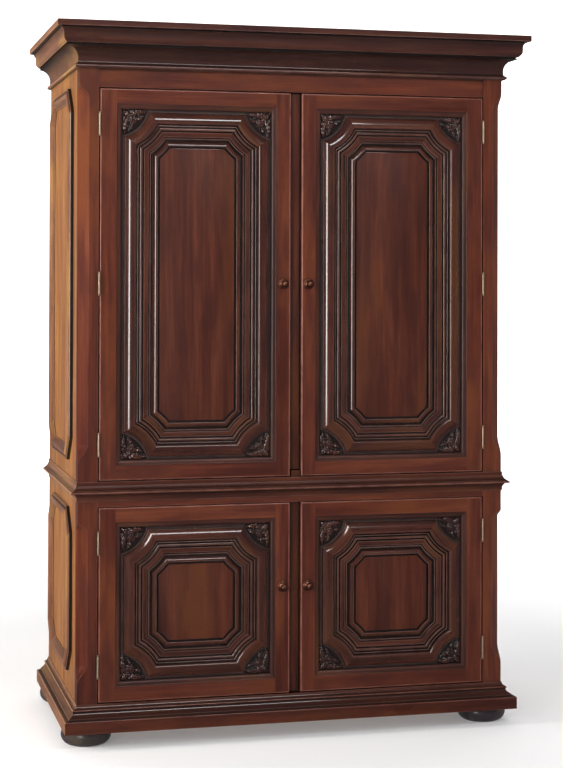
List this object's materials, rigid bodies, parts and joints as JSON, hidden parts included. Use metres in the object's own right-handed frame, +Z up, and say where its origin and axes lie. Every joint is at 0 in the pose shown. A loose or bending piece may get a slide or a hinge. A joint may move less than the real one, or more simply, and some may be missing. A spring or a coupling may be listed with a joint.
{
  "type": "computer armoire desk",
  "caption": "Tall wooden computer armoire: panelled hinged doors over a desk board, monitor shelf and pull-out keyboard tray, with moulded cornice, plinth and bun feet.",
  "frame": {"origin": "on the floor under the middle of the bounding box", "axes": "+Z up, doors face -Y, +X to the right when facing the doors"},
  "size_m": [1.43, 0.742, 2.082],
  "materials": {
    "case_wood": "dark red-brown stain, satin lacquer, worn edges",
    "side_wood": "red-brown stain, satin lacquer",
    "cornice_wood": "dark red-brown stain with glaze in the grooves",
    "door_wood": "dark red-brown stain, satin lacquer",
    "panel_moulding_wood": "dark glazed wood, glossy lacquer",
    "carved_wood": "near-black glaze over carved wood",
    "inner_wood": "mid-brown veneer, satin",
    "tray_wood": "red-brown veneer, satin",
    "foot_wood": "near-black turned wood, satin",
    "knob_bronze": "antique bronze, dark patina",
    "hinge_brass": "polished brass",
    "slide_steel": "zinc-plated steel"
  },
  "bodies": {
    "case": {"front_feet": "foot_wood", "rear_feet": "foot_wood", "base_moulding": "cornice_wood", "base_board": "inner_wood", "lower_post_left": "case_wood", "lower_post_right": "case_wood", "lower_side_left": "side_wood", "lower_side_right": "side_wood", "lower_side_frame_left": "side_wood", "lower_side_frame_right": "side_wood", "lower_back": "inner_wood", "lower_rail": "case_wood", "waist_moulding": "cornice_wood", "desk_board": "case_wood", "door_stop": "case_wood", "upper_post_left": "case_wood", "upper_post_right": "case_wood", "upper_side_left": "side_wood", "upper_side_right": "side_wood", "upper_side_frame_left": "side_wood", "upper_side_frame_right": "side_wood", "upper_back": "inner_wood", "frieze_rail": "case_wood", "top_board": "inner_wood", "cornice": "cornice_wood", "cornice_cap": "inner_wood", "monitor_shelf": "inner_wood", "upper_shelf": "inner_wood", "lower_shelf": "inner_wood", "shelf_pins": "hinge_brass", "tray_hangers": "slide_steel", "case_hinge_leaves": "hinge_brass"},
    "upper_left_door": {"upper_left_frame": "door_wood", "upper_left_panel": "door_wood", "upper_left_moulding": "panel_moulding_wood", "upper_left_carvings": "carved_wood", "upper_left_knob": "knob_bronze", "upper_left_hinge_leaves": "hinge_brass", "upper_astragal": "door_wood"},
    "upper_right_door": {"upper_right_frame": "door_wood", "upper_right_panel": "door_wood", "upper_right_moulding": "panel_moulding_wood", "upper_right_carvings": "carved_wood", "upper_right_knob": "knob_bronze", "upper_right_hinge_leaves": "hinge_brass"},
    "lower_left_door": {"lower_left_frame": "door_wood", "lower_left_panel": "door_wood", "lower_left_moulding": "panel_moulding_wood", "lower_left_carvings": "carved_wood", "lower_left_knob": "knob_bronze", "lower_left_hinge_leaves": "hinge_brass", "lower_astragal": "door_wood"},
    "lower_right_door": {"lower_right_frame": "door_wood", "lower_right_panel": "door_wood", "lower_right_moulding": "panel_moulding_wood", "lower_right_carvings": "carved_wood", "lower_right_knob": "knob_bronze", "lower_right_hinge_leaves": "hinge_brass"},
    "tray": {"keyboard_tray": "tray_wood", "tray_runners": "slide_steel"}
  },
  "joints": [
    {"name": "upper_left_hinge", "type": "hinge", "parent": "case", "child": "upper_left_door", "pos_m": [-0.5855, -0.3047, 0], "axis": [0, 0, -1], "range_deg": [0, 110]},
    {"name": "upper_right_hinge", "type": "hinge", "parent": "case", "child": "upper_right_door", "pos_m": [0.5855, -0.3047, 0], "axis": [0, 0, 1], "range_deg": [0, 110]},
    {"name": "lower_left_hinge", "type": "hinge", "parent": "case", "child": "lower_left_door", "pos_m": [-0.5855, -0.3047, 0], "axis": [0, 0, -1], "range_deg": [0, 110]},
    {"name": "lower_right_hinge", "type": "hinge", "parent": "case", "child": "lower_right_door", "pos_m": [0.5855, -0.3047, 0], "axis": [0, 0, 1], "range_deg": [0, 110]},
    {"name": "tray_slide", "type": "slide", "parent": "case", "child": "tray", "axis": [0, -1, 0], "range_m": [0, 0.3]}
  ],
  "couplings": [
    {"joint": "upper_right_hinge", "follows": "upper_left_hinge", "ratio": 1},
    {"joint": "tray_slide", "follows": "upper_left_hinge", "m_per_rad": 0.156}
  ]
}
